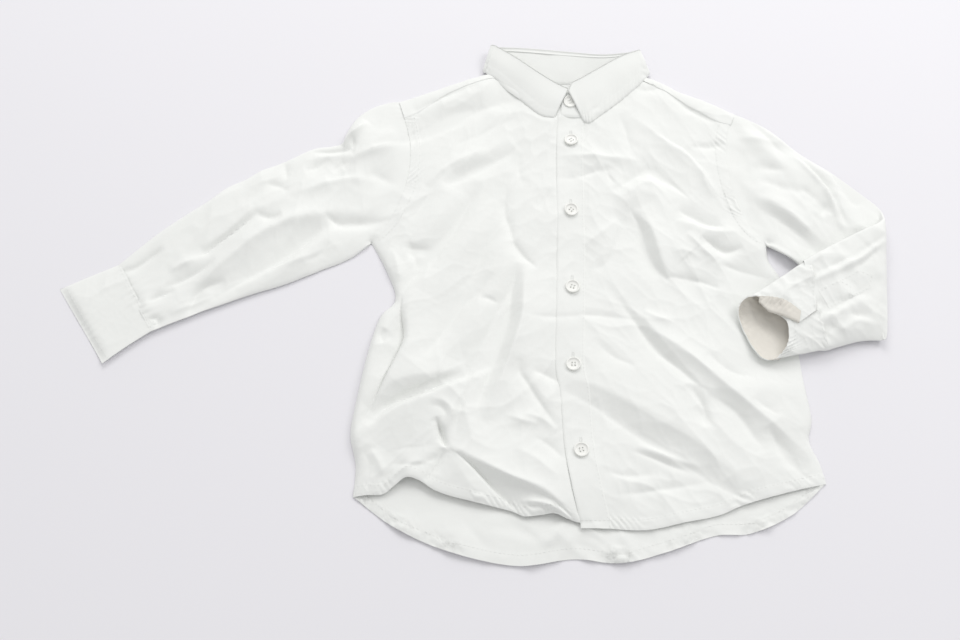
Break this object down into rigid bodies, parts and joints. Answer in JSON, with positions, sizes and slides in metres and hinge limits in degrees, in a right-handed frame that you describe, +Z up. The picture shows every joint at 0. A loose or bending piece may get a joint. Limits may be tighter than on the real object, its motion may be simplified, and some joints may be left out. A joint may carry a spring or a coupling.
{
  "type": "crumpled toddler's long-sleeved shirt",
  "caption": "Long-sleeved white cotton shirt with a collar and button placket, laid flat front up and crumpled, with one sleeve stretched out and the other folded back over itself.",
  "frame": {"origin": "the middle of the shirt's box, on the surface that it lies on", "axes": "+X along the shirt's width, from the stretched sleeve to the folded one; +Y up the shirt to the collar; +Z up from the surface"},
  "size_m": [0.674, 0.45, 0.0203],
  "materials": {
    "white_cotton": "plain woven white cotton, slightly sheer, matt",
    "white_plastic": "white resin shirt buttons with a soft gloss"
  },
  "bodies": {
    "root": {"back": "white_cotton", "yoke": "white_cotton", "front_right": "white_cotton", "front_left": "white_cotton", "button_placket": "white_cotton", "collar_stand": "white_cotton", "collar_leaf": "white_cotton", "neck_label": "white_cotton", "sleeve_right": "white_cotton", "cuff_right": "white_cotton", "sleeve_left": "white_cotton", "cuff_left": "white_cotton", "sleeve_placket_left": "white_cotton", "button_1": "white_plastic", "button_2": "white_plastic", "button_3": "white_plastic", "button_4": "white_plastic", "button_5": "white_plastic", "button_6": "white_plastic"}
  },
  "joints": []
}
